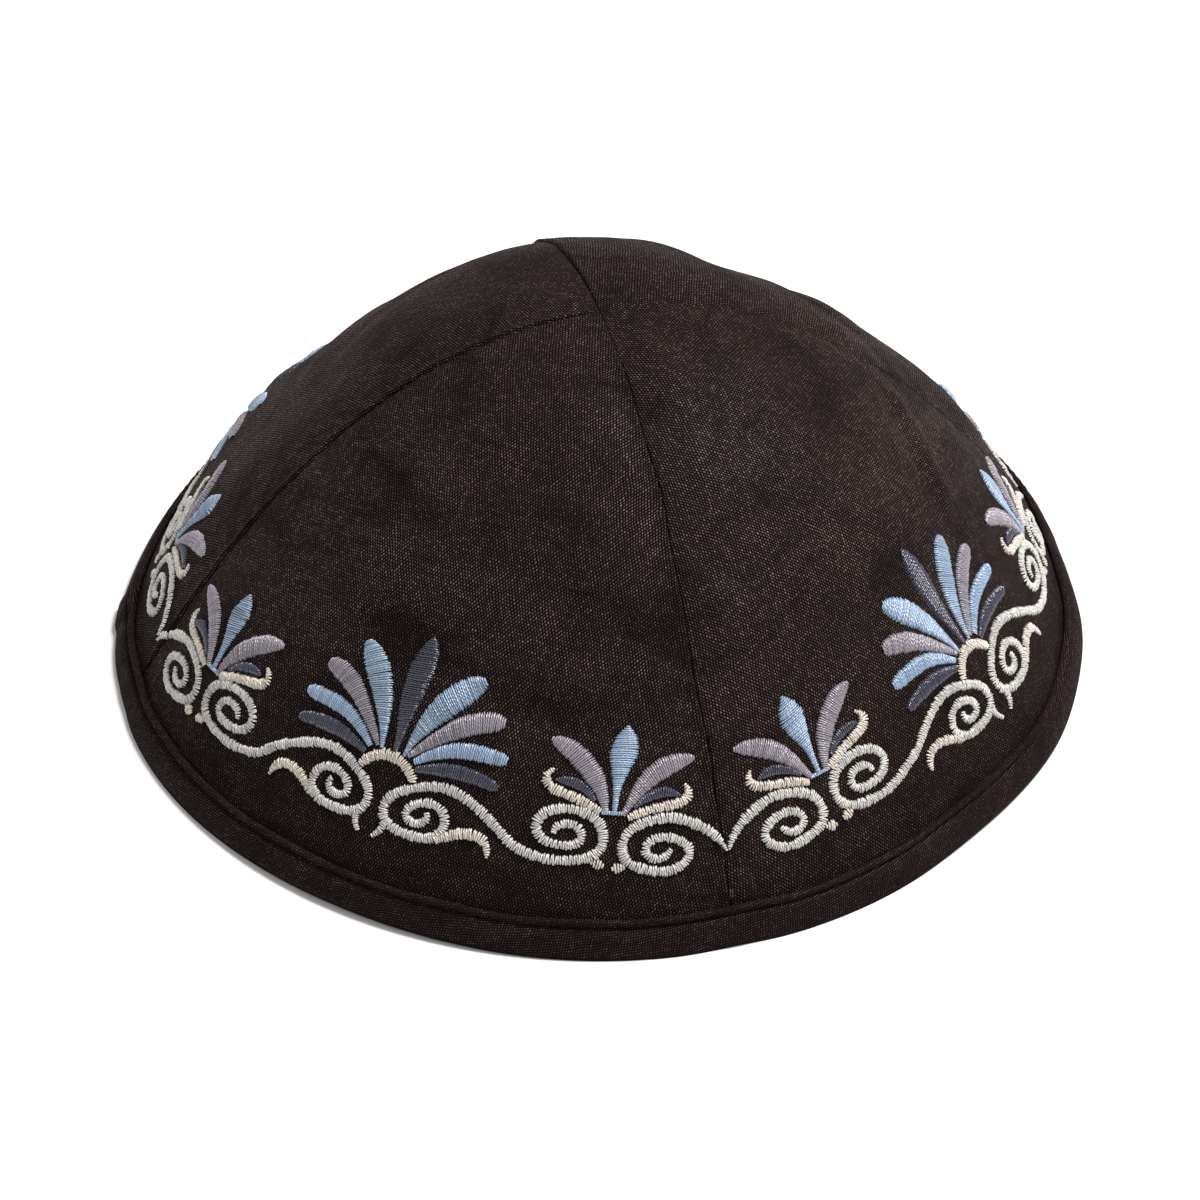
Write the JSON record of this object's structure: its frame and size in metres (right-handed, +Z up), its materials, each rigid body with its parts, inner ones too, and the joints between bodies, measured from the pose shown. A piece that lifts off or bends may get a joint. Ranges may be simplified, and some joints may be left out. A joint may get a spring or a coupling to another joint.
{
  "type": "kippah skullcap",
  "caption": "Low round cloth skullcap: a domed crown of sewn gores with a folded cloth binding round the rim, open underneath for the head.",
  "frame": {"origin": "centre of the rim, on the surface that the cap rests on", "axes": "+Z up through the top of the crown; the front gore faces -Y and the seams lie midway between the X and Y axes"},
  "size_m": [0.1684, 0.1698, 0.0665],
  "materials": {
    "crown_cloth": "plain-woven black cloth with a slight sheen",
    "binding_cloth": "matt black bias tape",
    "thread_silver": "satin-stitched rayon thread, cool silver white",
    "thread_cream": "satin-stitched rayon thread, cream",
    "thread_light_blue": "satin-stitched rayon thread, light blue",
    "thread_lilac": "satin-stitched rayon thread, grey lilac",
    "thread_navy": "satin-stitched rayon thread, navy"
  },
  "bodies": {
    "root": {"crown_gore_front": "crown_cloth", "crown_gore_right": "crown_cloth", "crown_gore_back": "crown_cloth", "crown_gore_left": "crown_cloth", "rim_binding": "binding_cloth"}
  },
  "joints": []
}
